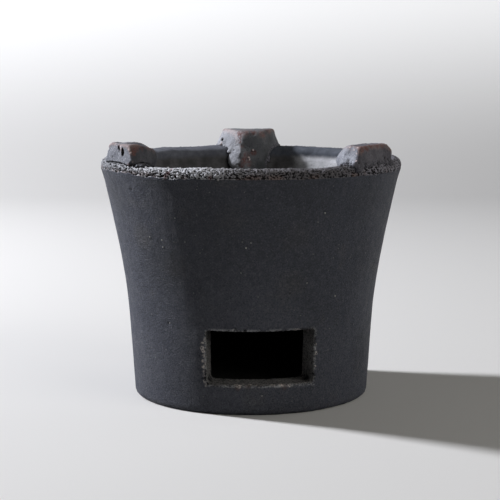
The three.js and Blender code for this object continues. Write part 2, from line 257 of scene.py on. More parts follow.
RIGHT_LUG = dict(
    # Painted shade and painted light: the next two colours are a dark copy of the clay for faces turned from
    # the lamp and a pale copy for faces turned to it; the later entry of a direction and two shares says
    # which faces take the pale copy.
    shaded_smoky=((0.116, 0.108, 0.118), (0.198, 0.186, 0.199)),
    chalky=((0.28, 0.285, 0.31), (0.42, 0.425, 0.45)),
    speckled=0.5,
    key_lit_side=((-0.88, 0.4, 0.32), 0.3, 0.6),
    lumps=(0.9, 0.45, 0.42),
    weld=1.9,
    fills=[
        (339, 166), (341, 165.8), (343, 165.6), (345, 165.4), (347, 165.2), (349, 165.2), (351, 165.4),
        (353, 166), (343, 164.2), (345, 163.8), (347, 163.6), (349, 163.6), (351, 163.8), (353, 164.4),
        (345, 162.6), (348, 162.2), (351, 162.4), (355, 167), (356, 169), (356.5, 171), (355, 169),
    ],
    # Painted light: pale marks on the nose's lower edge, where shadow falls on it.
    pale=[(343, 164, 2.4, 0.9), (347, 163.5, 2.6, 0.9), (351, 163, 2.4, 0.8)],
    pulls=[
        (338.5, 160, 5, (-1.1, 0.3, 0)), (388.5, 151, 5, (1.4, -0.2, -0.2)),
        (386.5, 144, 3, (-0.3, 0, -0.4)),
    ],
    bumps=[(347, 151, 3, 0.3), (370, 150, 4, 0.3)],
    pits=[
        (348.4, 160.6, 1.8, 0.4), (385, 158, 1.1, 0.6), (387.5, 159.4, 0.9, 0.5), (383, 156, 0.9, 0.4),
        (359, 163, 1, 0.5), (371, 158, 0.8, 0.3), (377, 152, 0.8, 0.3),
    ],
    rust=[
        (361.5, 147, 1.8, 1), (362.5, 150, 1.8, 0.9), (365.5, 147.5, 2, 0.9), (368, 149.5, 1.8, 0.6),
        (370, 145.6, 2, 0.8), (376, 145, 2.4, 0.6), (382, 145.5, 2.4, 0.5),
    ],
    cream=[
        (350, 147, 1, 0.6), (354, 150, 0.8, 0.7), (356.5, 153.5, 0.8, 0.6), (353, 146, 1, 0.7),
        (357.5, 147.5, 1, 0.7), (365, 144.6, 1.4, 0.5), (356, 161, 1, 0.6), (393.5, 157.5, 0.8, 0.5),
    ],
    seam=0,
)
WALL_PITS = [
    (130.5, 188, 1.5, 0.7), (117.5, 185.5, 1.2, 0.4), (168, 323.5, 1.4, 0.6), (152.5, 316, 1, 0.4),
    (290, 294, 1.4, 0.4), (302.5, 330.5, 1.8, 1.8), (234.5, 330, 1.5, 1.2), (245, 331, 1.2, 0.7),
    (322, 209, 0.9, 0.4), (324, 212, 0.9, 0.4), (312, 363, 1, 0.5), (309, 369, 1, 0.5), (307, 358, 0.9, 0.5),
    (313.5, 377, 1.3, 0.8), (203, 378, 1.2, 0.7), (199, 356, 1, 0.5),
]
WALL_GRAINS = [
    (307, 283), (335, 296), (328, 350), (315.5, 352), (251, 243), (241, 273), (246, 248), (200, 253),
    (163, 247), (170, 323), (152, 314), (162, 240), (185, 242), (175, 218), (150, 237), (147, 231),
    (303, 372), (262, 396), (318, 222), (325, 213), (163, 179.5), (218, 180.5),
]

# Raw clay at the door's broken edges, and ochre blooms on the wall
DOOR_RAW = [
    (236, 385, 1.6, 1), (239, 386, 1.8, 1), (243, 384, 1.4, 0.8), (250, 384.5, 1.6, 0.9),
    (256, 385, 1.5, 0.8), (263, 385, 1.2, 0.6), (273, 385, 1.8, 0.8), (281, 384.5, 2, 1),
    (289, 385, 1.6, 0.8), (230, 381, 1.2, 0.6), (238, 381, 1.2, 0.7), (285, 331, 1.4, 0.8),
    (291, 330.5, 1.6, 1), (296, 330, 1.6, 0.9), (308, 330, 1.2, 0.6), (233, 330, 1, 0.5), (316, 353, 1.4, 1),
    (315.5, 344, 1, 0.7), (315, 366, 1, 0.6), (202, 348, 1.5, 1), (203.5, 356, 1.2, 0.8),
    (204, 372, 1.5, 0.6), (205, 364, 1.2, 0.7), (205, 340, 1.4, 0.6), (202.5, 343, 1.2, 0.8),
    (203, 351, 1.4, 0.9), (203, 361, 1.3, 0.8), (203.5, 367, 1.4, 0.8), (204, 376, 1.4, 0.7),
    (204.5, 381, 1.2, 0.7), (206, 385, 1.4, 0.8), (280, 331.5, 1.3, 0.8), (288, 331, 1.2, 0.9),
    (300, 329.5, 1.2, 0.8), (225, 385, 1.2, 0.5),
]
DOOR_RUST = [
    (238, 387, 2.2, 0.9), (248, 386, 2, 0.7), (284, 386, 2.4, 0.8), (297, 333, 3, 1), (301, 332, 2, 1),
    (259, 386, 1.6, 0.6), (303, 331, 2, 0.8),
]
COIL_RUST = [(168, 173, 1.7, 1), (171.5, 170, 1.4, 0.8), (165.5, 177, 1.7, 0.7), (210, 178, 1.5, 0.7)]
DUST = [(252, 318, 34, 0.4), (252, 394, 12, 0.3), (334, 347, 12, 0.45), (144, 358, 19, 1)]
SMOKE = [
    (162, 262, 19, 1), (115, 191, 17, 1), (182, 387, 12, 0.3), (366, 198, 18, 1), (358, 262, 16, 0.7),
    (376, 262, 12, 0.5), (364, 348, 18, 1), (160, 205, 12, 0.3), (150, 188, 10, 0.6), (112, 178, 10, 0.7),
    (368, 186, 10, 0.7),
]
BLOOMS = [
    (142, 236, 9, 0.8), (176, 268, 8, 0.4), (292, 284, 9, 0.5), (300, 236, 9, 0.3), (232, 220, 10, 0.3),
]


def pick(piece):
    """Makes one piece the active one and the only one selected."""
    bpy.ops.object.select_all(action="DESELECT")
    piece.select_set(True)
    bpy.context.view_layer.objects.active = piece


def finish_with(piece, kind, **settings):
    """Adds a modifier with these settings to a piece and applies it."""
    pick(piece)
    change = piece.modifiers.new(kind.lower(), kind)
    for key, value in settings.items():
        setattr(change, key, value)
    bpy.ops.object.modifier_apply(modifier=change.name)


def in_edit(piece, work):
    """Does some work in edit mode with the whole piece selected."""
    pick(piece)
    bpy.ops.object.mode_set(mode="EDIT")
    bpy.ops.mesh.select_all(action="SELECT")
    work()
    bpy.ops.object.mode_set(mode="OBJECT")


def throw(name, profile, turns):
    """Clay turned on the wheel: a closed profile of (radius, height) points, carried round the axis."""
    bpy.ops.object.select_all(action="DESELECT")
    bpy.ops.mesh.primitive_circle_add(vertices=len(profile), radius=cad_high.x, fill_type="NOTHING")
    piece = bpy.context.object
    piece.name = piece.data.name = name
    for point, (radius, height) in zip(piece.data.vertices, profile):
        point.co = (radius, 0, height)
    wheel = {"axis": "Z", "angle": math.tau, "steps": turns, "render_steps": turns}
    finish_with(piece, "SCREW", use_merge_vertices=True, merge_threshold=SCREW_JOIN, **wheel)
    in_edit(piece, lambda: bpy.ops.mesh.normals_make_consistent(inside=False))
    return piece


def put(name, data):
    """A new thing in the scene that shows a mesh, a camera or a lamp."""
    thing = bpy.data.objects.new(name, data)
    bpy.context.collection.objects.link(thing)
    return thing


def cast(node, name):
    """A copy of a CAD piece with its loose triangles merged into one skin."""
    piece = put(name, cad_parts[node].data.copy())
    piece.data.name = name
    in_edit(piece, lambda: bpy.ops.mesh.remove_doubles(threshold=ONE_SKIN))
    return piece


def knead(piece, grain, softening=2):
    """Makes a piece one even skin of clay, fine enough to take marks, with softened arrises."""
    finish_with(piece, "REMESH", mode="VOXEL", voxel_size=grain)
    finish_with(piece, "SMOOTH", factor=0.5, iterations=softening)


def roughen(piece, size, depth, group="", sunk=0.5, kind="CLOUDS", **settings):
    """Raises and sinks a surface by a pattern whose lumps have that size, partly below the surface."""
    texture = bpy.data.textures.new(f"{piece.name}_{kind.lower()}", kind)
    texture.noise_scale = size
    for key, value in settings.items():
        setattr(texture, key, value)
    placing = {"texture": texture, "texture_coords": "LOCAL", "vertex_group": group}
    finish_with(piece, "DISPLACE", strength=depth, mid_level=sunk, **placing)


def vectors(parts, *names):
    """Arrays of the vectors that a mesh's points or faces keep under some names."""
    arrays = [np.empty(len(parts) * 3) for _ in names]
    for name, values in zip(names, arrays):
        parts.foreach_get(name, values)
    return [values.reshape(-1, 3) for values in arrays]


def shape_of(piece):
    """The points of a piece and the directions that its surface faces there."""
    return vectors(piece.data.vertices, "co", "normal")


def faces_of(piece):
    """The middles of a piece's faces and the directions that they face."""
    return vectors(piece.data.polygons, "center", "normal")


def set_places(piece, places):
    piece.data.vertices.foreach_set("co", places.ravel())
    piece.data.update()


def push(piece, amounts, way=None):
    """Moves each point of a piece by its own amount, outwards or the way given."""
    places, outward = shape_of(piece)
    set_places(piece, places + (outward if way is None else np.array(way)) * amounts[:, None])


def group_by(piece, name, weights):
    """A vertex group with a weight for each point."""
    group = piece.vertex_groups.new(name=name)
    levels = np.round(np.clip(weights, 0, 1) * WEIGHT_LEVELS).astype(int)
    for level in range(1, WEIGHT_LEVELS + 1):
        group.add(np.nonzero(levels == level)[0].tolist(), level / WEIGHT_LEVELS, "REPLACE")


def note(piece, name, values):
    """Keeps a number for each point of a piece, for its finish to read."""
    attribute = piece.data.attributes.new(name, "FLOAT", "POINT")
    attribute.data.foreach_set("value", values.astype(np.float32))


def averaged(piece, values, rounds):
    """Values at the points of a piece, averaged again and again with those of their neighbours."""
    ends = np.empty(len(piece.data.edges) * 2, np.int32)
    piece.data.edges.foreach_get("vertices", ends)
    near, far = ends[::2], ends[1::2]
    count = len(values)
    degree = np.maximum(np.bincount(ends, minlength=count), 1)
    for _ in range(rounds):
        around = [
            np.bincount(near, column[far], count) + np.bincount(far, column[near], count)
            for column in values.T
        ]
        values = (values + np.stack(around, 1) / degree[:, None]) / 2
    return values


def relief(piece, rounds, full):
    """How far each point stands out of its surroundings: 1 at that full height, and below 0 in a hollow."""
    places, outward = shape_of(piece)
    return ((places - averaged(piece, places, rounds)) * outward).sum(1) / full


def ramp(values, low, high):
    """Numbers that climb smoothly from 0 at low to 1 at high, or fall where low is the larger."""
    share = np.clip((values - low) / (high - low), 0, 1)
    return share * share * (3 - 2 * share)


def between(values, ends):
    """Whether numbers lie between two ends."""
    return (values > ends[0]) & (values < ends[1])


def from_axis(places):
    """Distance of each point from the stove's axis."""
    return np.hypot(places[:, 0], places[:, 1])


def bearing(places):
    """Direction of each point from the stove's axis, in degrees from 0 to 360."""
    return np.degrees(np.arctan2(places[:, 1], places[:, 0])) % 360


def seen_at(piece, marks):
    """The point of a piece that the photograph shows at each mark's pixel, or None beside the piece."""
    bpy.context.view_layer.update()
    tree = BVHTree.FromObject(piece, bpy.context.evaluated_depsgraph_get())
    focal = LENS / SENSOR * PHOTO_SIDE
    turn = camera.matrix_world.to_3x3()
    spots = []
    for across, down, *_ in marks:
        aim = turn @ Vector(((across - PHOTO_SIDE / 2) / focal, (PHOTO_SIDE / 2 - down) / focal, -1))
        spots.append(tree.ray_cast(camera.location, aim.normalized())[0])
    return spots


def about(piece, spot, reach):
    """Share of a mark at each point of a piece: 1 at the spot and 0 beyond the reach in millimetres."""
    places, _ = shape_of(piece)
    if spot is None:
        return np.zeros(len(places))
    gap = np.linalg.norm(places - np.array(spot), axis=1) / (reach * MM)
    return np.clip(1 - gap * gap, 0, 1)


def near(piece, marks):
    """For marks of (across, down, reach, strength), how strongly each point of a piece is marked."""
    found = np.zeros(len(piece.data.vertices))
    for (_, _, reach, strength), spot in zip(marks, seen_at(piece, marks)):
        found = np.maximum(found, strength * about(piece, spot, reach))
    return found


def mark(piece, **lists):
    """Notes how strongly each point of a piece is marked by each of some lists of marks."""
    for name, marks in lists.items():
        note(piece, name, near(piece, marks))


def pull(piece, marks):
    """For marks of (across, down, reach, way), draws the clay round each of them that way."""
    for (_, _, reach, way), spot in zip(marks, seen_at(piece, marks)):
        push(piece, about(piece, spot, reach) ** 2 * MM, way)


def distance_to(piece, spots, reach):
    """Distance of each point of a piece from the nearest of some spots, no more than a reach."""
    tree = KDTree(len(spots))
    for number, spot in enumerate(spots):
        tree.insert(spot, number)
    tree.balance()
    places, _ = shape_of(piece)
    found = np.full(len(places), reach)
    inside = (places > spots.min(0) - reach) & (places < spots.max(0) + reach)
    for index in np.nonzero(inside.all(1))[0]:
        found[index] = min(reach, tree.find(places[index])[2])
    return found


def sharp_spots(piece, apart):
    """Spots spaced that far apart along a piece's sharp edges."""
    facing = {}
    for face in piece.data.polygons:
        for key in face.edge_keys:
            facing.setdefault(key, []).append(face.normal)
    spots = []
    for (one, other), normals in facing.items():
        if len(normals) == 2 and normals[0].angle(normals[1], 0) > SHARP_ANGLE:
            start, end = piece.data.vertices[one].co, piece.data.vertices[other].co
            steps = max(1, round((end - start).length / apart))
            spots += [start.lerp(end, k / steps) for k in range(steps + 1)]
    return np.array(spots)


def place_camera():
    data = bpy.data.cameras.new("photograph")
    data.lens = LENS
    data.sensor_width = SENSOR
    thing = put("photograph", data)
    thing.location = CAMERA_PLACE
    thing.rotation_euler = (math.pi / 2 - CAMERA_DOWN, 0, 0)
    bpy.context.scene.camera = thing
    bpy.context.view_layer.update()
    return thing


def wall_outline():
    """The wall's closed profile, read from the back of the CAD wall: up the outside, down the inside."""
    rings = {}
    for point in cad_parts["stove_wall"].data.vertices:
        if point.co.y > BACK_FROM:
            rings.setdefault(round(point.co.z, 5), []).append(point.co.xy.length)
    heights = sorted(rings)
    outside = [(max(rings[z]), z) for z in heights]
    inside = [(min(rings[z]), z) for z in heights if max(rings[z]) - min(rings[z]) > WALL_LEAST]
    return outside + inside[::-1]


def radius_at(outline, height):
    """Radius of the wall's outer face at a height."""
    outside = [p for p, q in zip(outline, outline[1:]) if q[1] > p[1] - 1e-9]
    return np.interp(height, [z for _, z in outside], [r for r, _ in outside])


def make_wall():
    """The thrown wall: hand-turned unevenness, and an ash door with crumbled edges."""
    crisp = cast("stove_wall", "crisp_wall")
    edges = sharp_spots(crisp, DOOR_STEP)
    door = edges[(edges[:, 1] < DOOR_FRONT) & between(edges[:, 2], DOOR_LEVELS)]
    depth = radius_at(outline, door[:, 2]) - from_axis(door)
    outer = door[depth < OUTER_DEPTH]

    wall = cast("stove_wall", "thrown_wall")
    knead(wall, WALL_GRAIN)
    divide(wall, distance_to(wall, door, DOOR_REACH) < DOOR_FINE, 1)
    divide(wall, distance_to(wall, outer, DOOR_REACH) < OUTER_FINE, 2)
    group_by(wall, "door_edge", ramp(distance_to(wall, door, DOOR_REACH), *CRISP_REACH))
    onto = {"target": crisp, "wrap_method": "NEAREST_SURFACEPOINT"}
    finish_with(wall, "SHRINKWRAP", vertex_group="door_edge", **onto)
    bpy.data.objects.remove(crisp)

    for size, depth in WALL_WAVES:
        roughen(wall, size, depth)
    slope_inwards(wall)
    gap = distance_to(wall, outer, DOOR_REACH)
    group_by(wall, "broken", ramp(gap, *BROKEN_REACH))
    roughen(wall, 3 * MM, 1.3 * MM, group="broken", sunk=0.75)
    roughen(wall, 0.9 * MM, MM, group="broken", sunk=0.6, noise_depth=1)
    jamb = inside_door(wall)
    group_by(wall, "jamb", jamb)
    roughen(wall, 1.6 * MM, 0.6 * MM, group="jamb")
    push(wall, -near(wall, WALL_PITS) * MM)
    note(wall, "broken_edge", ramp(gap, *CHIPPED_REACH))
    note(wall, "jamb_share", jamb)
    mark(wall, raw=DOOR_RAW, rust=DOOR_RUST, bloom=BLOOMS, dust=DUST, smoke=SMOKE)
    note(wall, "relief", relief(wall, 6, 0.3 * MM))
    return wall


def slope_inwards(wall):
    """Thickens the wall's inner face under the rim into a shoulder that slopes inwards as it falls."""
    places, _ = shape_of(wall)
    height, radius = places[:, 2], from_axis(places)
    inside = radius_at(outline, height) - radius > INNER_DEPTH
    amounts = SHOULDER * inside * ramp(height, *SHOULDER_TOP) * ramp(height, *SHOULDER_FOOT)
    lugs = [shape_of(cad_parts[f"kettle_lug_{side}"])[0] for side in ("back", "left", "right")]
    amounts *= ramp(distance_to(wall, np.concatenate(lugs), 8 * MM), *LUG_CLEARANCE)
    push(wall, amounts, -places * (1, 1, 0) / radius[:, None])


def divide(piece, chosen, cuts):
    """Divides those faces of a piece that touch the chosen points."""
    pick(piece)
    for part in (*piece.data.edges, *piece.data.vertices):
        part.select = False
    for face in piece.data.polygons:
        face.select = any(chosen[point] for point in face.vertices)
    bpy.ops.object.mode_set(mode="EDIT")
    bpy.ops.mesh.select_mode(type="FACE")
    bpy.ops.mesh.subdivide(number_cuts=cuts)
    bpy.ops.object.mode_set(mode="OBJECT")


def inside_door(wall):
    """Share of each point of the wall that lies on the ash door's sides, sill or top."""
    places, outward = shape_of(wall)
    radius = from_axis(places)
    across = np.abs((outward[:, :2] * places[:, :2]).sum(1)) / radius
    depth = radius_at(outline, places[:, 2]) - radius
    door = (places[:, 1] < JAMB_FRONT) & between(places[:, 2], JAMB_LEVELS) & (depth > 0.3 * MM)
    return averaged(wall, (door & (across < 0.6)).astype(float)[:, None], 2)[:, 0]


def coil_profile():
    """The coil's closed profile: a flat seat, a full belly outside, a round crest, a long fall inside."""
    low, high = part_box("rim_coil")
    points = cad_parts["rim_coil"].data.vertices
    corners = {(round(point.co.xy.length, 4), round(point.co.z, 4)) for point in points}
    radii = [radius for radius, _ in corners]
    centre = ((min(radii) + max(radii)) / 2, (low.z + high.z) / 2)
    corners = sorted(corners, key=lambda p: math.atan2(p[1] - centre[1], p[0] - centre[0]))
    corners = skirted(corners, centre[0], low.z)
    profile = []
    for (r0, z0), (r1, z1) in zip(corners, corners[1:] + corners[:1]):
        seen = min(r0, r1) > centre[0] and max(z0, z1) > low.z + 0.1 * MM
        steps = max(1, round(math.dist((r0, z0), (r1, z1)) / (COIL_GRAIN if seen else COIL_HIDDEN_GRAIN)))
        profile += [(r0 + (r1 - r0) * k / steps, z0 + (z1 - z0) * k / steps) for k in range(steps)]
    return profile


def skirted(corners, centre, bottom):
    """The coil's corners, its lower edges drawn down over the wall's faces and into them."""
    outer = [(r, z) for r, z in corners if r > centre and z < bottom + 0.9 * MM]
    kept = [corner for corner in corners if corner not in outer]
    skirt = [(outer[0][0] - 1.2 * MM, bottom)]
    for drop, proud in SKIRT_STEPS:
        height = bottom - SKIRT * drop
        skirt.append((float(radius_at(outline, height)) + proud * MM, height))
    inner, bottom = kept[0]
    lap = [(inner + outwards * MM, bottom + up * MM) for outwards, up in LAP]
    return lap + skirt + kept[1:]


def on_wall_side(radius, height):
    """Whether points lie in the skin that covers the wall's outer face."""
    return radius > radius_at(outline, height) - SKIN_DEPTH


def smear_height(turned):
    """Height at which the coil's torn grit ends above the smoothed wall, for directions in degrees."""
    round_by = np.radians(turned)
    wander = sum(size * np.sin(count * round_by + start) for size, count, start in SMEAR_WAVES)
    wander *= 0.3 + 0.7 * ramp(turned, *EVEN_FROM)
    return SMEAR_TOP + (wander + 0.5 * ramp(turned, *HIGH_UNTIL)) * MM


def make_coil():
    """The rim coil: torn, gritty clay outside and over its crest, smoothed with slip inside."""
    coil = throw("torn_coil", coil_profile(), COIL_TURNS)
    before, outward = shape_of(coil)
    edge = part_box("rim_coil")[1].x
    radius = from_axis(before)
    turned = bearing(before)
    height = before[:, 2]
    gritty = ramp(turned, GRIT_FROM - GRIT_FADE, GRIT_FROM) * ramp(turned, GRIT_TO + GRIT_FADE, GRIT_TO)
    outside = ramp(radius + GRIT_OVER * gritty, *(edge + part for part in TORN_BAND))
    outside *= ramp(height - smear_height(turned), *SMEAR_FADE)
    level = outside * (QUIET_GRIT + (1 - QUIET_GRIT) * gritty)
    group_by(coil, "torn", level)
    group_by(coil, "slip", (1 - outside) * ramp(height, *SKIRT_TOP[::-1]))
    for size, depth, settings in TEARS:
        roughen(coil, size * MM, depth * MM, group="torn", **settings)
    group_by(coil, "torn_crest", outside * gritty * ramp(height, *CREST))
    roughen(coil, 1.2 * MM, 1.5 * MM, group="torn_crest", noise_depth=1)
    roughen(coil, 4 * MM, 0.2 * MM, group="slip")
    raised = ((shape_of(coil)[0] - before) * outward).sum(1)
    after = before + outward * (raised - averaged(coil, raised[:, None], SETTLING)[:, 0])[:, None]
    after -= outward * (GRIT_SINK * level)[:, None]
    sag = SAG * ramp(turned, *SAG_FROM) * ramp(turned, *SAG_TO)
    sag += sum(depth * np.exp(-(((turned - place) / width) ** 2)) for place, width, depth in DIPS)
    sag *= ramp(height, *SAG_LEVELS)
    after[:, 2] -= sag * MM
    set_places(coil, after)
    skirt = ramp(height, *SKIRT_TOP) * on_wall_side(radius, height)
    group_by(coil, "skirt", skirt)
    group_by(coil, "above_skirt", 1 - skirt)
    roughen(coil, 22 * MM, 0.7 * MM, group="above_skirt")
    for size, depth in WALL_WAVES:
        roughen(coil, size, depth, group="skirt")
    note(coil, "grit_share", level)
    mark(coil, rust=COIL_RUST, smoke=SMOKE)
    note(coil, "relief", relief(coil, 10, 0.25 * MM))
    return coil


def lumps_of(name, places, sizes):
    """Pinches of clay: balls, each pressed out to its own size at its own place, in one piece."""
    bpy.ops.object.select_all(action="DESELECT")
    bpy.ops.mesh.primitive_ico_sphere_add(subdivisions=2, radius=1)
    ball = bpy.context.object
    ball.name = name
    balls = [ball] + [put(name, ball.data.copy()) for _ in places[1:]]
    for made, place, size in zip(balls, places, sizes):
        made.data.transform(Matrix.Translation(place) @ Matrix.Diagonal((*size, 1)))
    join(ball, balls[1:])
    return ball


def join(piece, others):
    """Joins pieces into the first of them."""
    pick(piece)
    for other in others:
        other.select_set(True)
    bpy.ops.object.join()


def weld_spots(lug, coil, apart):
    """Spots spaced that far apart where a lug's skin meets the coil's."""
    touching = shape_of(lug)[0][distance_to(lug, shape_of(coil)[0], MM) < TOUCHING]
    spots = []
    for place in touching:
        if all(math.dist(place, spot) > apart for spot in spots):
            spots.append(place)
    return spots


def make_lug(node, name, marks, coil, lumps=()):
    """A hand-pinched lug: soft arrises, lumpy faces, grit, its own drawn corners, pits and stains, and notes
    of where light and shade are painted on it.
    """
    lug = cast(node, name)
    if marks["weld"]:
        knead(lug, LUG_GRAIN * 2, softening=1)
        size = marks["weld"] * MM
        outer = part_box("rim_coil")[1].x - WELD_OUTSIDE
        for spot in weld_spots(lug, coil, 0.8 * size):
            lumps = [*lumps, (spot, [size if math.hypot(*spot[:2]) > outer else WELD_INSIDE] * 3)]
    fills = filter(None, seen_at(coil, marks.get("fills", [])))
    lumps = [*lumps, *((spot, [WELD_INSIDE] * 3) for spot in fills)]
    if lumps:
        join(lug, [lumps_of(f"{name}_lumps", *zip(*lumps))])
    knead(lug, LUG_GRAIN, softening=8)
    pull(lug, marks["pulls"])
    for size, depth in zip(LUMP_SIZES, marks["lumps"]):
        roughen(lug, size, depth * MM, noise_depth=1)
    wear = relief(lug, 160, 0.9 * MM)
    push(lug, near(lug, marks["bumps"]) * MM)
    pits = near(lug, marks["pits"])
    push(lug, -pits * MM)
    note(lug, "pit", pits)
    # The last list of marks is painted shade.
    mark(lug, rust=marks["rust"], cream=marks["cream"], soot=marks.get("soot", []))
    places, outward = shape_of(lug)
    note(lug, "arris", wear * ramp(places[:, 2], *WEAR_LEVELS))
    note(lug, "relief", relief(lug, 8, 0.14 * MM))
    # Faces turned towards the lamp are noted for the painted light of the pale copy.
    side, dark, pale = marks["key_lit_side"]
    facing = ramp(averaged(lug, (outward @ np.array(side))[:, None], 24)[:, 0], dark, pale)
    # The pale marks add painted light where shadow falls.
    note(lug, "key_lit_side", np.maximum(facing, near(lug, marks.get("pale", []))))
    near_coil = distance_to(lug, shape_of(coil)[0], 4 * MM)
    note(lug, "foot", ramp(near_coil, *FOOT_REACH) * bool(marks["weld"]))
    return lug


def make_hearth(node, name):
    """A plain clay piece of the hearth: softened arrises and an uneven, ashy skin."""
    piece = cast(node, name)
    knead(piece, HEARTH_GRAIN, softening=3)
    roughen(piece, 11 * MM, 0.5 * MM)
    roughen(piece, 2.2 * MM, 0.25 * MM)
    note(piece, "relief", relief(piece, 8, 0.3 * MM))
    return piece


def make_grains(*skins):
    """White grit grains that stand out of the clay, each a small broken stone."""
    sizes = [(0.36 + 0.14 * math.sin(number * 2.4)) * MM for number in range(len(WALL_GRAINS))]
    found = zip(*(seen_at(skin, WALL_GRAINS) for skin in skins))
    places = [min(filter(None, spots), key=lambda spot: (spot - CAMERA_PLACE).length) for spots in found]
    stones = lumps_of("white_grains", places, [(s, s * 0.7, s * 0.85) for s in sizes])
    stones.data.name = "white_grains"
    return stones


class Finish:
    """A clay's material as it is mixed. Its patterns lie in the piece's own coordinates."""

    def __init__(self, name, gloss):
        self.material = bpy.data.materials.new(name)
        self.material.use_nodes = True
        self.tree = self.material.node_tree
        self.shader = self.tree.nodes["Principled BSDF"]
        self.feed(self.shader.inputs["Specular IOR Level"], gloss)
        self.place = self.tree.nodes.new("ShaderNodeTexCoord").outputs["Object"]
        self.across, self.depth, self.height = self.node("ShaderNodeSeparateXYZ", {0: self.place}).outputs
        self.colour = self.surface = None

    def feed(self, socket, value):
        """Fills an input with another node's output, a number or a colour."""
        if isinstance(value, bpy.types.NodeSocket):
            self.tree.links.new(value, socket)
        elif socket.type == "RGBA":
            socket.default_value = (*value, 1)
        else:
            socket.default_value = value

    def node(self, kind, inputs, **settings):
        """A node with its settings and its inputs filled."""
        made = self.tree.nodes.new(kind)
        for key, value in settings.items():
            setattr(made, key, value)
        for key, value in inputs.items():
            self.feed(made.inputs[key], value)
        return made

    def stretched(self, amounts):
        return self.node("ShaderNodeMapping", {"Vector": self.place, "Scale": amounts}).outputs["Vector"]

    def noise(self, size, detail=5, rough=0.6, stretch=None):
        """Cloudy noise whose patches have that size in millimetres."""
        place = self.stretched(stretch) if stretch else self.place
        scale = 1 / (size * MM)
        values = {"Vector": place, "Scale": scale, "Detail": detail, "Roughness": rough}
        return self.node("ShaderNodeTexNoise", values).outputs["Fac"]

    def cells(self, size):
        """Distance from the middle of the nearest of many scattered cells of that size in millimetres."""
        values = {"Vector": self.place, "Scale": 1 / (size * MM)}
        return self.node("ShaderNodeTexVoronoi", values).outputs["Distance"]

    def noted(self, name):
        """A number that the piece keeps for each of its points."""
        return self.node("ShaderNodeAttribute", {}, attribute_name=name).outputs["Fac"]

    def radius(self):
        flat = self.stretched((1, 1, 0))
        return self.node("ShaderNodeVectorMath", {0: flat}, operation="LENGTH").outputs["Value"]

    def ramp(self, value, low, high):
        """A value that climbs from 0 at low to 1 at high, or falls where low is the larger."""
        values = {"Value": value, "From Min": low, "From Max": high}
        return self.node("ShaderNodeMapRange", values, interpolation_type="SMOOTHSTEP").outputs["Result"]

    def reckon(self, operation, one, other):
        return self.node("ShaderNodeMath", {0: one, 1: other}, operation=operation).outputs["Value"]

    def times(self, one, other):
        return self.reckon("MULTIPLY", one, other)

    def plus(self, one, other):
        return self.reckon("ADD", one, other)

    def less(self, one, other):
        return self.reckon("SUBTRACT", one, other)

    def most(self, one, other):
        return self.reckon("MAXIMUM", one, other)

    def mix(self, share, one, other):
        """One colour with a share of another laid over it."""
        return self.node("ShaderNodeMix", {0: share, 6: one, 7: other}, data_type="RGBA").outputs[2]

    def lay(self, share, tone, strength=None):
        """Lays a share of a tone over the colour so far, no more of it than that strength."""
        self.colour = self.mix(self.times(share, strength) if strength else share, self.colour, tone)

    def raise_by(self, height, depth):
        """Raises the surface by a height from 0 to 1, up to a depth in millimetres."""
        values = {"Height": height, "Distance": depth * MM, "Strength": 1}
        if self.surface:
            values["Normal"] = self.surface
        self.surface = self.node("ShaderNodeBump", values).outputs["Normal"]

    def done(self, roughness):
        self.feed(self.shader.inputs["Base Color"], self.colour)
        self.feed(self.shader.inputs["Roughness"], roughness)
        if self.surface:
            self.feed(self.shader.inputs["Normal"], self.surface)
        return self.material


def lay_smoke(clay, mottle):
    """Slate-grey soot, cloudy and mottled, darker towards the top and paler at the foot, with a painted
    sheen, paler and bluer, towards both sides, and ochre blooms.
    """
    cloud = clay.ramp(clay.noise(34), 0.36, 0.66)
    clay.colour = clay.mix(cloud, (0.051, 0.053, 0.064), (0.071, 0.074, 0.089))
    clay.lay(clay.ramp(mottle, 0.38, 0.72), (0.098, 0.101, 0.117))
    clay.lay(clay.ramp(clay.height, 0.055, 0.12), (0.036, 0.037, 0.044), 0.34)
    clay.lay(clay.ramp(clay.height, 0.06, 0.012), (0.125, 0.128, 0.148), 0.26)
    # Painted sheen: paler, bluer clay where the wall turns away to either side and the light grazes it.
    for side in (-1, 1):
        painted_sheen_side = clay.ramp(clay.across, 0.02 * side, 0.062 * side)
        clay.lay(painted_sheen_side, (0.074, 0.082, 0.12), 0.35 - 0.07 * side)
    clay.lay(clay.noted("dust"), (0.12, 0.122, 0.14), 0.5)
    clay.lay(clay.noted("smoke"), (0.028, 0.029, 0.034), 0.4)
    patches = clay.ramp(clay.noise(19, detail=3), 0.58, 0.74)
    bloom = clay.most(clay.times(patches, 0.3), clay.times(clay.noted("bloom"), 0.6))
    clay.lay(clay.times(bloom, mottle), (0.15, 0.132, 0.092))


